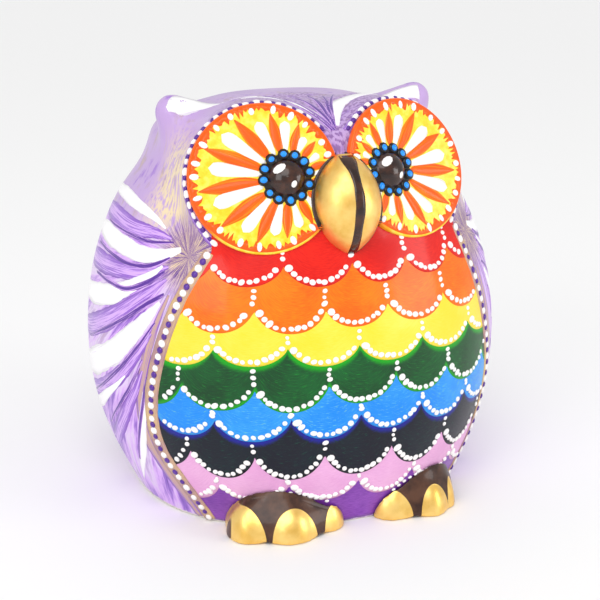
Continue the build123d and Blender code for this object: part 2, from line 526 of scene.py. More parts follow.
row_paints = {
    "purple": brushed("purple_paint", colour(112, 50, 152), colour(144, 80, 184)),
    "pink": brushed("pink_paint", colour(222, 158, 208), colour(234, 178, 220)),
    "navy": brushed(
        "navy_paint",
        colour(16, 16, 34),
        colour(14, 30, 40),
        rim=colour(22, 28, 140),
        fleck=colour(0, 74, 58),
    ),
    "blue": brushed("blue_paint", colour(26, 132, 232), colour(56, 158, 236), fleck=colour(120, 200, 160)),
    "green": brushed(
        "green_paint",
        colour(0, 62, 30),
        colour(0, 92, 40),
        rim=colour(20, 156, 24),
        fleck=colour(24, 136, 44),
    ),
    "yellow": brushed("yellow_paint", colour(246, 214, 50), colour(248, 224, 84)),
    "orange": brushed("orange_paint", colour(250, 96, 0), colour(255, 128, 10)),
    "red": brushed("red_paint", colour(204, 12, 4), colour(230, 36, 18)),
}
column_turn = 0.45
row_height_step = 1.1
rows = [Row(*details, seed=count + 11) for count, details in enumerate(feather_rows)]
for count, row in enumerate(rows):
    name, notch_height, depth = feather_rows[count][:3]
    top_row = count + 1 == len(rows)
    floor_edge = (lambda turn: 1.0) if name == "purple" else row.hang
    above = 110.0 if top_row else feather_rows[count + 1][1] + 2.0
    columns = int(108.0 / column_turn)
    levels = max(6, int((above - notch_height + depth) / row_height_step))
    lift = row_step * (count + 1)
    bm = bmesh.new()
    bmesh.ops.create_grid(bm, x_segments=columns, y_segments=levels, size=0.5)
    coats = bm.loops.layers.uv.new("brush")
    rims = bm.verts.layers.float.new("rim")
    spots = {}
    lows = {}
    for vert in bm.verts:
        side_share = vert.co.x + 0.5
        key = round(side_share, 5)
        if key not in lows:
            lows[key] = crossing(floor_edge, side_share, 0.5, notch_height + 6.0)
        height = lows[key] + (above - lows[key]) * (vert.co.y + 0.5)
        left = belly_limit(-1, height) + 0.8
        right = belly_limit(1, height) - 0.8
        turn = left * (1.0 - side_share) + right * side_share
        spots[vert] = (turn * turn_length, height - lows[key])
        vert[rims] = 9.0 if top_row else rows[count + 1].hang(turn) - height
        if name == "green":
            vert[rims] = min(vert[rims], height - lows[key])
        vert.co = on_body(turn, height, lift)
    for face in bm.faces:
        for loop in face.loops:
            loop[coats].uv = spots[loop.vert]
    lay_film(bm)
    lay(f"feathers_{name}", bm, row_paints[name])


# --- White dots on the feathers -----------------------------------------------------------------
# Thick white contour paint, squeezed from a fine nozzle: a string of dots just inside each scallop's
# edge, and a short stem of dots from the middle of the scallop above down to each notch.

dot_gap = 2.8
dot_inset = 1.55
dot_sizes = (0.78, 1.15)


def dab(bm, place, normal, along, half_long, half_wide, proud):
    """A blob of thick paint: an oval dome, half sunk, its long way running along."""
    side = normal.cross(along).normalized()
    forward = side.cross(normal).normalized()
    axes = Matrix((forward * half_long * mm, side * half_wide * mm, normal * proud * mm))
    put = Matrix.Translation(place) @ axes.transposed().to_4x4()
    bmesh.ops.create_uvsphere(bm, u_segments=10, v_segments=6, radius=1.0, matrix=put)


def body_dab(bm, turn, height, radius, rand, long=1.4):
    """A dot on the body, a little oval and never quite round."""
    place = on_body(turn, height)
    normal = (on_body(turn + 0.6, height) - place).cross(on_body(turn, height + 0.8) - place).normalized()
    lean = Matrix.Rotation(rand.uniform(-0.7, 0.7), 3, normal)
    along = lean @ normal.cross(Vector((0.0, 0.0, 1.0)))
    half_long = radius * rand.uniform(1.0, long)
    dab(bm, place + normal * 0.3 * mm, normal, along, half_long, radius, 0.55 * radius)


def thick_paint(name, shade, tint):
    """Contour paint straight from the nozzle, with faint unevenness in its colour and skin."""
    paint = Finish(name)
    clouds = paint.noise(paint.place(), 900.0, detail=2.0)
    paint.link(paint.blend(clouds, shade, tint), paint.shader.inputs["Base Color"])
    paint.varnish(roughness=0.38, coat=0.5)
    paint.bump(clouds, 0.05 * mm)
    return paint.material


white_dots = thick_paint("white_contour_paint", colour(252, 251, 250), colour(240, 236, 236))
purple_dots = thick_paint("purple_contour_paint", colour(72, 32, 130), colour(100, 58, 160))
chain_paints = {"white": white_dots, "purple": purple_dots}


def inside_belly(turn, height, margin):
    """Whether a dot here keeps this many degrees clear of both borders."""
    return belly_limit(-1, height) + margin < turn < belly_limit(1, height) - margin


rand = random.Random(5)
for count, row in enumerate(rows[1:], start=1):
    bm = bmesh.new()
    for (left, left_height), (right, right_height) in zip(row.notches, row.notches[1:]):
        edge = []
        for step in range(61):
            turn = left + (right - left) * (0.02 + 0.96 * step / 60.0)
            edge.append(Vector((turn * turn_length, row.hang(turn))))
        walked = 0.0
        next_dot = 0.6
        first = True
        for start, end in zip(edge, edge[1:]):
            walked += (end - start).length
            if walked < next_dot:
                continue
            next_dot += dot_gap * rand.uniform(0.88, 1.1)
            inward = Vector((start.y - end.y, end.x - start.x)).normalized()
            spot = end + inward * dot_inset * rand.uniform(0.85, 1.15)
            radius = 1.3 if first else rand.uniform(*dot_sizes)
            first = False
            if inside_belly(spot.x / turn_length, spot.y, 3.2):
                body_dab(bm, spot.x / turn_length, spot.y, radius, rand)
    for turn, height in row.notches:
        upper = rows[count + 1].hang(turn) if count + 1 < len(rows) else height + 7.0
        beads = max(2, int((upper - height) / 2.2))
        for bead in range(beads):
            spot = height + 1.0 + (upper - height - 1.4) * (bead + 0.5) / beads
            if inside_belly(turn, spot, 2.8):
                body_dab(bm, turn + rand.uniform(-0.25, 0.25), spot, rand.uniform(0.62, 0.95), rand, 1.4)
    if bm.verts:
        lay(f"dots_{row.name}", bm, white_dots)
    else:
        bm.free()


# --- The belly's border -------------------------------------------------------------------------
# A band of mauve and gold runs round each side of the belly, and on it a chain of touching dots,
# one white and one purple in turn.

band_widths = (3.6, 5.2, 5.8, 5.6, 4.6)
bead_pitch = 2.45


def stroke(bm, points, widths, lift, ragged, place_at, seed):
    """One stroke of a flat brush through these points, with these widths in mm along it.

    place_at puts a point of the line on the surface. The stroke's own lengths go in its uv map.
    """
    count = 8 * (len(points) - 1)
    line = [place_at(through(points, step / count)) for step in range(count + 1)]
    length = sum((b[0] - a[0]).length for a, b in zip(line, line[1:])) / mm
    brush = bm.loops.layers.uv.verify()
    edges = bm.verts.layers.float.get("edge") or bm.verts.layers.float.new("edge")
    made = bmesh.ops.create_grid(bm, x_segments=count, y_segments=4, size=0.5)
    spots = {}
    for vert in made["verts"]:
        share = vert.co.x + 0.5
        across = vert.co.y * 2.0
        step = min(round(share * count), count)
        place, normal = line[step]
        ahead = line[min(step + 1, count)][0] - line[max(step - 1, 0)][0]
        side = normal.cross(ahead).normalized()
        width = through([(value,) for value in widths], share)[0]
        fray = 1.0 + ragged * noise.noise(Vector((share * length * 0.25, seed + across, seed * 3.1)))
        offset = across * width * fray / 2.0
        spots[vert] = (share * length, offset + seed * 7.3)
        vert[edges] = abs(across)
        snapped, out = nearest_on_body(place + side * offset * mm)
        vert.co = snapped + out * lift
    for face in {face for vert in made["verts"] for face in vert.link_faces}:
        for loop in face.loops:
            loop[brush].uv = spots[loop.vert]


def turned(point):
    """A place on the body from a turn and a height, with the way out of it."""
    return nearest_on_body(on_body(*point))


border = brushed("border_band", colour(168, 128, 140), colour(222, 188, 128), streak=4.0)
for side, name in ((-1, "right"), (1, "left")):
    bm = bmesh.new()
    points = [(side * turn, height) for turn, height in belly_edges[side]]
    stroke(bm, points, band_widths, 0.36 * mm, 0.12, turned, 1.0)
    lay_film(bm, thickness=0.7 * mm)
    lay(f"border_band_{name}", bm, border)

    line = [on_body(*through(points, step / 200.0)) for step in range(201)]
    chains = {"white": bmesh.new(), "purple": bmesh.new()}
    walked = 0.0
    beads = 0
    for start, end in zip(line, line[1:]):
        walked += (end - start).length / mm
        if walked < (beads + 0.5) * bead_pitch:
            continue
        shade = "white" if beads % 2 == 0 else "purple"
        radius = rand.uniform(1.25, 1.5) if shade == "white" else rand.uniform(0.95, 1.25)
        surface_place, out = nearest_on_body(end)
        dab(chains[shade], surface_place + out * 0.4 * mm, out, end - start, radius, radius, 0.6)
        beads += 1
    for shade, chain in chains.items():
        lay(f"border_dots_{shade}_{name}", chain, chain_paints[shade])


# --- The wings ----------------------------------------------------------------------------------
# Each wing is a fan of long feathers, flicked back from a dark root beside the chin with a loaded
# flat brush: broad white strokes, with violet and pink ones dragged half dry between them.


def streaked(name, core, rim, bare_share):
    """A brush stroke whose colour thins to the ground beneath it in streaks, most of all at its rims."""
    paint = Finish(name)
    along, across, flat = paint.split(paint.along())
    hairs = paint.noise(
        paint.stretched((along, 0.05), (across, 1.9), (flat, 0.0)),
        1.0,
        detail=4.0,
        roughness=0.65,
    )
    thin = paint.math("MULTIPLY_ADD", paint.attribute("edge"), 0.22, hairs)
    share = paint.step(thin, bare_share, bare_share + 0.16)
    paint.link(paint.blend(share, core, rim), paint.shader.inputs["Base Color"])
    paint.varnish(roughness=0.34)
    paint.bump(hairs, 0.2 * mm)
    return paint.material


# The feathers' lines, as turns from the front and heights, and the widths of the brush along them
white_feathers = [
    ([(60, 107), (67, 110), (79, 112), (99, 113), (126, 111)], (0.6, 2.6, 4.2, 4.6, 0.4)),
    (
        [(53, 101), (59, 98.5), (67, 97.5), (79, 98.5), (97, 99.5), (116, 98)],
        (1.8, 4.4, 5.8, 6.8, 6.4, 0.4),
    ),
    ([(58, 95), (62, 91), (69, 86), (78, 81), (94, 77), (124, 73)], (0.8, 3.0, 5.4, 7.4, 8.0, 0.4)),
    ([(57, 83), (61, 77), (67, 69), (76, 60), (94, 50), (121, 42)], (1.2, 4.6, 7.6, 9.8, 9.6, 0.4)),
    ([(69, 54), (77, 46), (92, 35), (112, 28)], (0.6, 2.6, 4.8, 0.4)),
    ([(61.5, 50), (64, 38), (68, 24), (76, 9)], (2.0, 3.8, 4.2, 0.6)),
]
lilac_feathers = [
    ([(57, 104), (64, 105), (76, 105), (98, 106), (119, 105)], (1.0, 4.0, 6.4, 6.6, 0.4)),
    ([(56, 95), (61, 93), (70, 91), (82, 90), (98, 89), (122, 87)], (1.0, 3.6, 6.0, 7.0, 7.0, 0.4)),
    ([(56, 91), (62, 85), (70, 78), (80, 71), (95, 64), (117, 59)], (1.0, 4.0, 7.0, 8.4, 8.2, 0.4)),
    ([(59, 72), (64, 63), (72, 53), (82, 45), (98, 38), (120, 33)], (0.8, 3.6, 6.4, 7.4, 6.4, 0.4)),
    ([(62, 58), (66, 48), (74, 35), (86, 22), (102, 14)], (0.8, 4.0, 6.4, 5.6, 0.4)),
]
violet_feathers = [
    ([(56, 103), (64, 102), (76, 102.5), (96, 103)], (0.6, 1.2, 1.6, 0.8)),
    ([(56, 98), (62, 94.5), (70, 93.5), (84, 94), (98, 94.5)], (0.8, 2.0, 1.6, 1.4, 0.8)),
    ([(57, 93.5), (62, 89), (70, 85), (79, 85), (92, 85)], (0.8, 2.2, 2.0, 1.6, 0.8)),
    ([(56, 86), (61, 82), (68, 76), (78, 69), (92, 61)], (1.0, 2.6, 1.8, 1.6, 0.8)),
    ([(58, 76), (64, 66), (72, 55.5), (84, 45), (96, 38)], (0.8, 1.8, 1.6, 1.4, 0.8)),
    ([(62, 62), (67, 51), (74, 41), (84, 30)], (0.8, 1.8, 1.6, 0.8)),
    ([(60.5, 56), (62.5, 46), (66, 34), (71, 20)], (0.6, 1.6, 1.4, 0.8)),
]
wing_coats = [
    ("lilac", lilac_feathers, 0.05 * mm, streaked("lilac_brush", colour(212, 170, 240), violet, 0.50)),
    ("white", white_feathers, 0.12 * mm, streaked("white_brush", colour(250, 249, 250), pale_lilac, 0.72)),
    ("violet", violet_feathers, 0.18 * mm, streaked("violet_brush", deep_violet, pink_lilac, 0.58)),
]
border_shade = streaked("mauve_brush", colour(196, 160, 150), violet, 0.56)
for side, name in ((-1, "right"), (1, "left")):
    bm = bmesh.new()
    line = [(side * (turn + 4.0), height) for turn, height in belly_edges[side][1:]]
    stroke(bm, line, (1.0, 4.0, 5.0, 5.4, 5.0, 3.0), 0.03 * mm, 0.3, turned, 9.0)
    lay_film(bm)
    lay(f"border_shade_{name}", bm, border_shade)
    for shade, feathers, lift, paint in wing_coats:
        bm = bmesh.new()
        for count, (points, widths) in enumerate(feathers):
            line = [(side * turn, height) for turn, height in points]
            stroke(bm, line, widths, lift, 0.16, turned, count + 2.0)
        lay_film(bm)
        lay(f"wing_{shade}_{name}", bm, paint)


# --- The brow and ear tufts ---------------------------------------------------------------------
# White brush marks fill the front of each ear tuft and run along the brow, and a spray of fine dark
# violet strokes rises on the forehead from the notch between the eyes.

# The lines of the brow, as places in mm, and the widths of the brush along them
brow_lines = [
    (
        [(-50, -13, 145), (-46, -14, 147), (-38, -13, 147), (-29, -14, 147), (-20, -22, 149)],
        (2.0, 9.0, 8.0, 4.0, 1.0),
    ),
    (
        [(-26, -22, 149), (-16, -25, 149), (-7, -29, 147), (-3, -36, 144), (-1.5, -43, 140)],
        (0.8, 2.2, 3.0, 2.4, 0.8),
    ),
    (
        [(2, -43, 140), (5, -34, 144), (10, -28, 147), (20, -24, 149), (34, -14, 147), (47, -13, 146)],
        (1.0, 5.4, 6.4, 5.0, 5.6, 6.4),
    ),
]
fan_lines = [
    ([(0, -45, 139), (-4, -34, 145), (-10, -18, 148)], (1.4, 1.8, 0.5)),
    ([(0, -44, 140), (-1, -33, 145), (-3, -16, 148)], (1.4, 1.8, 0.5)),
    ([(0.5, -44, 140), (1.5, -32, 145), (3, -12, 148)], (1.4, 2.0, 0.5)),
    ([(0.5, -43, 140), (3.5, -31, 146), (8, -14, 148)], (1.4, 1.8, 0.5)),
    ([(1, -42, 141), (5, -29, 147), (13, -12, 148)], (1.2, 1.6, 0.5)),
    ([(-1, -45, 139), (-8, -33, 146), (-17, -20, 149)], (1.2, 1.5, 0.5)),
]


def near(point):
    """A place on the body near a point given in mm, with the way out of it."""
    return nearest_on_body(Vector(point) * mm)


for name, lines, paint, lift in (
    ("brow_white", brow_lines, wing_coats[1][3], 0.10 * mm),
    ("forehead_fan", fan_lines, wing_coats[2][3], 0.14 * mm),
):
    bm = bmesh.new()
    for count, (points, widths) in enumerate(lines):
        stroke(bm, points, widths, lift, 0.16, near, count + 30.0)
    lay_film(bm)
    lay(name, bm, paint)


# --- The eyes -----------------------------------------------------------------------------------
# Each eye is a raised disc of clay with its paint laid on flat: yellow, a ragged orange fringe at
# the rim with white teardrops on it, and white and orange petals round a flower of black and blue.

eye_yaw = radians(15.0)
eye_lean = radians(20.0)
eye_thickness = 2.0
eye_film = 0.3 * mm
eye_sizes = {-1: (26.8, 25.8), 1: (25.6, 24.8)}
eye_depth = -47.0
eye_height = 124.4
pupil_inset = 7.8
pupil_radius = 6.4
pupil_dome = 3.2
petal_count = 13
petal_start = 8.6
teardrops = 22
flower_radius = 8.4
lobes = 12
lobe_ring = 7.9
chain_beads = 48
chain_out = 2.3


def eye_frame(side):
    """The middle of the eye disc's front and its ways across, up and out."""
    out = Vector((side * sin(eye_yaw) * cos(eye_lean), -cos(eye_yaw) * cos(eye_lean), sin(eye_lean)))
    across = Vector((cos(eye_yaw), side * sin(eye_yaw), 0.0))
    up = out.cross(across)
    middle = Vector((side * eye_sizes[side][0], eye_depth, eye_height)) * mm + out * eye_thickness * mm
    return middle, across, up, out


def petal(bm, side, root, angle, start, end, half_width, shape, lift):
    """A flat petal of paint on the eye, from start to end along this angle round its root."""
    middle, across, up, out = eye_frame(side)
    brush = bm.loops.layers.uv.verify()
    edges = bm.verts.layers.float.get("edge") or bm.verts.layers.float.new("edge")
    made = bmesh.ops.create_grid(bm, x_segments=12, y_segments=2, size=0.5)
    forward = Vector((cos(angle), sin(angle)))
    aside = Vector((-sin(angle), cos(angle)))
    spots = {}
    for vert in made["verts"]:
        share = vert.co.x + 0.5
        sway = vert.co.y * 2.0
        flat = root + forward * (start + (end - start) * share) + aside * sway * half_width * shape(share)
        spots[vert] = (share * (end - start), sway * half_width + angle * 9.0)
        vert[edges] = abs(sway)
        vert.co = middle + (across * flat.x + up * flat.y) * mm + out * lift
    for face in {face for vert in made["verts"] for face in vert.link_faces}:
        for loop in face.loops:
            loop[brush].uv = spots[loop.vert]


def club(share):
    """Narrow at the root and broad and round at the end."""
    body = 0.22 + 0.78 * share**0.8
    if share <= 0.72:
        return body
    return body * min(1.0, sqrt(max(0.0, 1.0 - ((share - 0.72) / 0.28) ** 2)))


def spindle(share):
    """Pointed at both ends."""
    return max(0.04, sin(pi * share**0.8)) ** 0.8


def eye_ground(name, middle, radius):
    """Yellow for the whole disc, but for its rim, which is orange round the top and the sides."""
    paint = Finish(name)
    marks = paint.noise(paint.place(), 380.0, detail=4.0)
    yellow = paint.ramp(
        marks,
        [(0.35, colour(250, 200, 36)), (0.50, colour(254, 216, 58)), (0.65, colour(255, 230, 100))],
    )
    from_middle = paint.node("VectorMath", operation="DISTANCE")
    paint.link(paint.place(), from_middle.inputs[0])
    from_middle.inputs[1].default_value = middle
    at_rim = paint.step(from_middle.outputs["Value"], (radius - 1.3) * mm, (radius - 0.8) * mm)
    height = paint.split(paint.place())[2]
    at_rim = paint.math("MULTIPLY", at_rim, paint.step(height, 0.104, 0.110))
    paint.link(paint.blend(at_rim, yellow, colour(252, 98, 0)), paint.shader.inputs["Base Color"])
    paint.varnish()
    paint.bump(marks, 0.1 * mm)
    return paint.material


eye_orange = streaked("eye_orange", colour(250, 92, 0), colour(255, 140, 10), 0.60)
eye_white = streaked("eye_white", colour(254, 250, 246), colour(255, 226, 214), 0.72)
pupil_black = thick_paint("black_gloss", colour(14, 12, 14), colour(30, 26, 28))
pupil_blue = thick_paint("blue_dots", colour(0, 128, 245), colour(40, 160, 255))
brown_gloss = Finish("brown_gloss")
streaks = brown_gloss.noise(brown_gloss.place(), 240.0, detail=4.0)
brown_gloss.link(
    brown_gloss.ramp(streaks, [(0.40, colour(36, 16, 10)), (0.66, colour(72, 42, 28))]),
    brown_gloss.shader.inputs["Base Color"],
)
brown_gloss.varnish(roughness=0.24, coat=0.7)
brown_gloss.bump(streaks, 0.15 * mm)

for side, name in ((-1, "right"), (1, "left")):
    middle, across, up, out = eye_frame(side)
    radius = eye_sizes[side][1]
    behind_eye = middle - out * 50.0 * mm
    rand = random.Random(40 + side)
    repaint(f"eye_disc_{name}", eye_ground(f"eye_yellow_{name}", middle, radius))

    def on_eye(flat, lift):
        return middle + (across * flat.x + up * flat.y) * mm + out * lift

    fringe = bmesh.new()
    rim = bmesh.ops.create_circle(fringe, segments=200, radius=radius - 0.7)["verts"]
    rim_edges = fringe.edges[:]
    inner = bmesh.ops.extrude_edge_only(fringe, edges=rim_edges)["geom"]
    inner = [item for item in inner if isinstance(item, bmesh.types.BMVert)]
    for count, vert in enumerate(inner):
        deep = 0.9 + 2.9 * rand.random() ** 1.6 + (0.7 if count % 2 else 0.0)
        vert.co *= 1.0 - deep / radius
    for vert in fringe.verts:
        vert.co = on_eye(vert.co, 0.04 * mm)
    lay_film(fringe, behind_eye, eye_film)
    lay(f"eye_fringe_{name}", fringe, eye_orange)

    root = Vector((-side * pupil_inset, 0.0))
    whites = bmesh.new()
    oranges = bmesh.new()
    for count in range(petal_count * 2):
        angle = 2.0 * pi * (count + 0.5) / (petal_count * 2) + rand.uniform(-0.035, 0.035)
        forward = Vector((cos(angle), sin(angle)))
        inward = root.dot(forward)
        reach_out = -inward + sqrt(inward**2 - root.length_squared + (radius - 1.0) ** 2)
        pitch = pi / petal_count
        if count % 2 == 0:
            end = min(reach_out - 4.2, reach_out * 0.86) * rand.uniform(0.92, 1.0)
            petal(whites, side, root, angle, petal_start, end, end * pitch * 0.46, club, 0.10 * mm)
        else:
            end = (reach_out - 2.4) * rand.uniform(0.94, 1.0)
            petal(oranges, side, root, angle, 8.4, end, end * pitch * 0.36, spindle, 0.07 * mm)
    drops = bmesh.new()
    for count in range(teardrops):
        angle = 2.0 * pi * count / teardrops + rand.uniform(-0.05, 0.05)
        outward = across * cos(angle) + up * sin(angle)
        flat = Vector((cos(angle), sin(angle))) * (radius - 2.6 + rand.uniform(-0.3, 0.3))
        half_long = rand.uniform(1.25, 1.75)
        dab(drops, on_eye(flat, 0.05 * mm), out, outward, half_long, rand.uniform(0.85, 1.15), 0.35)

    flower = bmesh.new()
    blues = bmesh.new()
    base = bmesh.ops.create_cone(
        flower, segments=40, radius1=flower_radius, radius2=flower_radius - 0.2, depth=0.5, cap_ends=True
    )
    for vert in base["verts"]:
        vert.co = on_eye(root + vert.co.xy, (vert.co.z + 0.12) * mm)
    for count in range(lobes):
        angle = 2.0 * pi * (count + 0.3) / lobes + rand.uniform(-0.06, 0.06)
        outward = across * cos(angle) + up * sin(angle)
        flat = root + Vector((cos(angle), sin(angle))) * lobe_ring
        dab(flower, on_eye(flat, 0.2 * mm), out, outward, 2.0 * rand.uniform(0.92, 1.08), 2.05, 0.75)
        dab(blues, on_eye(flat, 0.75 * mm), out, outward, 1.15 * rand.uniform(0.85, 1.2), 1.15, 0.45)
    # Two white dots on each glossy pupil dome are painted highlights, laid on as raised white paint at the
    # upper left and lower right
    lights = bmesh.new()
    dome = (pupil_radius**2 + pupil_dome**2) / (2.0 * pupil_dome)
    for spot, long, wide, lean in (((-2.6, 2.7), 2.5, 1.6, 0.5), ((2.2, -2.7), 1.3, 1.0, 1.2)):
        spot = Vector(spot)
        rise = sqrt(dome**2 - spot.length_squared) - dome + pupil_dome
        tilt = (across * spot.x + up * spot.y + out * (rise + dome - pupil_dome)).normalized()
        along = (across * cos(lean) + up * sin(lean)).normalized()
        dab(lights, on_eye(root + spot, rise * mm), tilt, along, long, wide, 0.25)

    repaint(f"pupil_{name}", brown_gloss.material)
    for part, bm, paint in (
        ("white_petals", whites, eye_white),
        ("orange_petals", oranges, eye_orange),
        ("teardrops", drops, white_dots),
        ("flower", flower, pupil_black),
        ("blue_dots", blues, pupil_blue),
        ("glints", lights, white_dots),
    ):
        if part.endswith("petals"):
            lay_film(bm, behind_eye, eye_film)
        lay(f"eye_{part}_{name}", bm, paint)

    # A chain of dots on a violet line follows the rim from the chin round to the notch of the brow
    bm = bmesh.new()
    ring_points = []
    for step in range(13):
        angle = radians(-58.0 + 200.0 * step / 12.0)
        flat = Vector((side * cos(angle), sin(angle))) * (radius + chain_out)
        ring_points.append(tuple(on_eye(flat, -1.5 * mm) / mm))
    stroke(bm, ring_points, (3.6, 4.2, 3.8, 3.4, 3.0), 0.06 * mm, 0.1, near, 50.0)
    lay_film(bm)
    lay(f"eye_line_{name}", bm, wing_coats[0][3])
    chains = {"white": bmesh.new(), "purple": bmesh.new()}
    for count in range(chain_beads):
        angle = radians(-50.0 + 190.0 * count / (chain_beads - 1))
        flat = Vector((side * cos(angle), sin(angle))) * (radius + chain_out)
        place, normal = nearest_on_body(on_eye(flat, -1.5 * mm))
        tangent = across * -side * sin(angle) + up * cos(angle)
        shade = "white" if count % 2 == 0 else "purple"
        size = rand.uniform(1.0, 1.35) if shade == "white" else rand.uniform(0.8, 1.05)
        dab(chains[shade], place + normal * 0.15 * mm, normal, tangent, size * 1.3, size * 0.9, 0.6)
    for shade, chain in chains.items():
        lay(f"eye_chain_{shade}_{name}", chain, chain_paints[shade])


# --- The beak -----------------------------------------------------------------------------------
# A pointed almond of clay in polished gold paint, outlined where it meets the face and ridged down
# its middle with dark brown gloss.

gold_stops = [(0.35, colour(236, 188, 92)), (0.60, colour(252, 212, 124))]
gold = Finish("polished_gold")
rubbed = gold.noise(gold.place(), 150.0, detail=5.0)
gold.link(gold.ramp(rubbed, gold_stops), gold.shader.inputs["Base Color"])
gold.shader.inputs["Metallic"].default_value = 0.85
gold.shader.inputs["Roughness"].default_value = 0.4
gold.shader.inputs["Coat Weight"].default_value = 0.25
gold.shader.inputs["Coat Roughness"].default_value = 0.1
gold.bump(rubbed, 0.04 * mm)

repaint("beak", gold.material)

beak_top = Vector((0.0, -52.5, 133.2))
beak_tip = Vector((0.0, -59.0, 97.8))
beak_radius = 11.8
beak_middle = (beak_top + beak_tip) / 2.0
beak_way = (beak_top - beak_tip).normalized()
beak_half = (beak_top - beak_tip).length / 2.0
beak_arc = (beak_half**2 + beak_radius**2) / (2.0 * beak_radius)


def on_beak(share, turn, lift):
    """A point of the beak, from -1 at its tip to 1 at its top and turned this far from its ridge."""
    along = share * beak_half * 0.97
    girth = sqrt(beak_arc**2 - along**2) - beak_arc + beak_radius + lift
    front = -beak_way.cross(Vector((1.0, 0.0, 0.0)))
    if front.y > 0.0:
        front = -front
    round_it = front * cos(turn) + Vector((1.0, 0.0, 0.0)) * sin(turn)
    return (beak_middle + beak_way * along + round_it * girth) * mm, round_it


def beak_stroke(bm, turns, shares, half_widths, lift):
    """A line of gloss paint on the beak, between two shares of its length and through these turns."""
    made = bmesh.ops.create_grid(bm, x_segments=40, y_segments=4, size=0.5)
    for vert in made["verts"]:
        step = vert.co.x + 0.5
        share = shares[0] + (shares[1] - shares[0]) * step
        girth = max(1.2, sqrt(beak_arc**2 - (share * beak_half * 0.97) ** 2) - beak_arc + beak_radius)
        width = through([(value,) for value in half_widths], step)[0]
        width *= 1.0 + 0.12 * noise.noise(Vector((step * 9.0, turns[0], 0.0)))
        turn = through([(value,) for value in turns], step)[0] + vert.co.y * 2.0 * width / girth
        vert.co = on_beak(share, turn, lift)[0]


face_form = bmesh.new()
for node in ("eye_disc_left", "eye_disc_right"):
    face_form.from_mesh(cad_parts[node].data)
face_form.from_mesh(painted_body.data)
face_surface = BVHTree.FromBMesh(face_form)
face_form.free()


def beak_outline(bm, side, inner, outer, lift):
    """A line of gloss paint on the face along one side of the beak, where the two meet."""
    made = bmesh.ops.create_grid(bm, x_segments=48, y_segments=3, size=0.5)
    for vert in made["verts"]:
        share = 2.01 * vert.co.x - 0.065
        along = max(-0.965, min(0.965, share)) * beak_half
        girth = max(0.0, sqrt(beak_arc**2 - along**2) - beak_arc + beak_radius)
        sway = inner + (outer - inner) * (vert.co.y + 0.5)
        sway *= 1.0 + 0.25 * noise.noise(Vector((share * 5.0, side, 0.0)))
        past_tip = min(1.0, max(0.0, (1.06 - abs(share)) / 0.10))
        aside = Vector((side * (girth + sway) * past_tip, 0.0, 0.0))
        aim = beak_middle + beak_way * share * beak_half + aside
        start = Vector((aim.x, -150.0, aim.z)) * mm
        place, normal, face, distance = face_surface.ray_cast(start, Vector((0.0, 1.0, 0.0)))
        vert.co = place + normal * lift


bm = bmesh.new()
beak_stroke(bm, (-0.05, 0.0, 0.02, -0.04, -0.04), (0.93, -0.98), (2.8, 1.5, 1.8, 1.5, 1.6), 0.12)
beak_stroke(bm, (1.20, 1.26, 1.28, 1.24, 1.0), (0.93, -0.97), (0.7, 0.6, 0.6, 0.8, 1.2), 0.10)
for side in (-1, 1):
    beak_outline(bm, side, -0.6, 1.15, 0.12 * mm)
lay_film(bm, beak_middle * mm + Vector((0.0, 20.0 * mm, 0.0)), 0.5 * mm)
lay("beak_lines", bm, brown_gloss.material)


# --- The feet -----------------------------------------------------------------------------------
# Each foot is one low mound of clay with three toes pressed into its front. The toes are gold, and
# dark brown gloss frames them and runs down between them to the ground.

foot_grain = 0.6 * mm
toe_relief = 0.35 * mm
most_fill = 5.0 * mm
gold_half_width = 0.46
gold_rise = 0.94

painted_foot = Finish("gold_toes_in_brown_gloss")
toe_share = painted_foot.step(painted_foot.attribute("toe"), -0.02, 0.03)
rubbed = painted_foot.noise(painted_foot.place(), 150.0, detail=5.0)
gold_shade = painted_foot.ramp(rubbed, gold_stops)
brown_shade = painted_foot.ramp(rubbed, [(0.40, colour(50, 27, 18)), (0.62, colour(84, 54, 38))])
foot_shade = painted_foot.blend(toe_share, brown_shade, gold_shade)
painted_foot.link(foot_shade, painted_foot.shader.inputs["Base Color"])
painted_foot.link(painted_foot.math("MULTIPLY", toe_share, 0.85), painted_foot.shader.inputs["Metallic"])
painted_foot.shader.inputs["Roughness"].default_value = 0.36
painted_foot.shader.inputs["Specular IOR Level"].default_value = 0.3
painted_foot.shader.inputs["Coat Weight"].default_value = 0.25
painted_foot.shader.inputs["Coat Roughness"].default_value = 0.08
marks = painted_foot.math("MULTIPLY", rubbed, 0.1)
painted_foot.bump(painted_foot.math("ADD", marks, painted_foot.math("MULTIPLY", toe_share, -0.5)), 0.5 * mm)

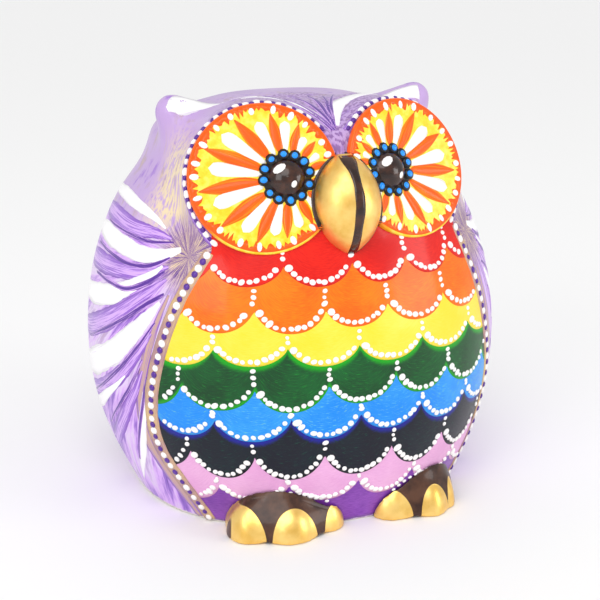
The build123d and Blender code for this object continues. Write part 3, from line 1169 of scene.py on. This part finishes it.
for side, name in ((-1, "right"), (1, "left")):
    toe_nodes = [f"toe_{name}_{place}" for place in ("inner", "middle", "outer")]
    clay = cast(f"foot_{name}_clay", [f"foot_{name}"] + toe_nodes, foot_grain)
    # Clay fills the valleys between the toes, almost out to the foot's hull
    low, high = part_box(f"foot_{name}")
    heart = Vector(((low.x + high.x) / 2.0, high.y, 0.0))
    hull = clay.copy()
    made = bmesh.ops.convex_hull(hull, input=hull.verts)
    inner = set(made["geom_interior"] + made["geom_unused"])
    spare = [item for item in inner if isinstance(item, bmesh.types.BMVert)]
    bmesh.ops.delete(hull, geom=spare, context="VERTS")
    mound = BVHTree.FromBMesh(hull)
    hull.free()
    for vert in clay.verts:
        way = vert.co - heart
        if vert.normal.z > -0.6 and vert.co.y < heart.y:
            place, normal, face, gap = mound.ray_cast(vert.co, way)
            if place is not None:
                vert.co += way.normalized() * max(0.0, min(gap - toe_relief, most_fill))
    fill_creases(clay, clay.verts[:], 30)
    sponge(clay, clay.verts[:], 7)
    clay.normal_update()
    masks = []
    boxes = [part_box(node) for node in toe_nodes]
    for vert in clay.verts:
        gold_here = -1.0
        for toe_low, toe_high in boxes:
            half_width = (toe_high.x - toe_low.x) * gold_half_width
            across = (vert.co.x - (toe_low.x + toe_high.x) / 2.0) / half_width
            rise = vert.co.z / (toe_high.z * gold_rise)
            gold_here = max(gold_here, 1.0 - across**2 - rise**2)
        masks.append(gold_here)
        vert.co -= vert.normal * 0.15 * mm
        vert.co.z = max(vert.co.z, 0.0)
    foot = add_object(f"painted_foot_{name}", clay)
    foot.data.attributes.new("toe", "FLOAT", "POINT").data.foreach_set("value", masks)
    foot.data.materials.append(painted_foot.material)
    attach(foot, "bank")
    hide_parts(f"foot_{name}", *toe_nodes)

    # Small white dots follow the top of the foot's brown arch
    arch = bmesh.new()
    for count in range(12):
        angle = radians(40.0 + 100.0 * (count + 0.5) / 12.0)
        aim = Vector((
            (low.x + high.x) / 2.0 + (high.x - low.x) * 0.545 * cos(angle),
            -0.2,
            (high.z - 2.0 * mm) * 1.02 * sin(angle),
        ))
        place, normal, face, distance = skin.ray_cast(aim, Vector((0.0, 1.0, 0.0)))
        if place is not None and aim.z > 2.0 * mm:
            dab(arch, place + normal * 0.3 * mm, normal, Vector((1.0, 0.0, 0.0)), 0.85, 0.65, 0.4)
    lay(f"arch_dots_{name}", arch, white_dots)


# --- The stopper --------------------------------------------------------------------------------
# A soft black plug, moulded in one piece, is pushed into the hole in the base from below.

rubber = Finish("stopper_rubber")
grain = rubber.noise(rubber.place(), 1500.0, detail=3.0)
rubber.link(
    rubber.ramp(grain, [(0.35, colour(38, 38, 42)), (0.65, colour(58, 58, 62))]),
    rubber.shader.inputs["Base Color"],
)
rubber.shader.inputs["Roughness"].default_value = 0.75
rubber.bump(grain, 0.08 * mm)
repaint("stopper", rubber.material)


# --- Camera, light and table --------------------------------------------------------------------
# A pale table under a broad soft light from the upper left, with a soft box on each side.

floor_form = bmesh.new()
bmesh.ops.create_grid(floor_form, x_segments=1, y_segments=1, size=40.0)
table_top = add_object("table_top", floor_form)
table = Finish("pale_table")
table.shader.inputs["Base Color"].default_value = (0.93, 0.93, 0.93, 1.0)
table.shader.inputs["Roughness"].default_value = 0.7
table_top.data.materials.append(table.material)

world = bpy.data.worlds.new("studio")
bpy.context.scene.world = world
world.use_nodes = True
world.node_tree.nodes["Background"].inputs["Color"].default_value = (1.0, 1.0, 1.0, 1.0)
world.node_tree.nodes["Background"].inputs["Strength"].default_value = 0.72


def soft_light(name, place, size, power):
    """A square soft box that points at the middle of the bank."""
    lamp = bpy.data.lights.new(name, "AREA")
    lamp.size = size
    lamp.energy = power
    holder = bpy.data.objects.new(name, lamp)
    bpy.context.scene.collection.objects.link(holder)
    holder.location = place
    aim = Vector((0.0, 0.0, 0.08)) - Vector(place)
    holder.rotation_euler = aim.to_track_quat("-Z", "Y").to_euler()


soft_light("right_box", (0.75, -0.66, 0.28), 0.42, 2.2)
soft_light("left_box", (-0.80, -0.55, 0.50), 0.5, 2.2)
sun = bpy.data.lights.new("key_light", "SUN")
sun.angle = radians(40.0)
sun.energy = 1.0
sun_holder = bpy.data.objects.new("key_light", sun)
sun_holder.rotation_euler = Vector((0.35, 0.75, -1.0)).to_track_quat("-Z", "Y").to_euler()
bpy.context.scene.collection.objects.link(sun_holder)

lens = bpy.data.cameras.new("camera")
lens.sensor_width = 36.0
lens.lens = 79.5
camera = bpy.data.objects.new("camera", lens)
bpy.context.scene.collection.objects.link(camera)
camera_place = Vector((-172.1, -463.4, 205.9)) * mm
camera_back = Vector((-0.342, -0.900, 0.2706)).normalized()
camera_right = Vector((0.935, -0.355, 0.0)).normalized()
camera_roll = radians(-0.5)
level_up = camera_back.cross(camera_right)
rolled_right = camera_right * cos(camera_roll) + level_up * sin(camera_roll)
rolled_up = camera_back.cross(rolled_right)
facing = Matrix((rolled_right, rolled_up, camera_back)).transposed().to_4x4()
camera.matrix_world = Matrix.Translation(camera_place) @ facing
bpy.context.scene.camera = camera
bpy.context.scene.view_settings.view_transform = "Standard"
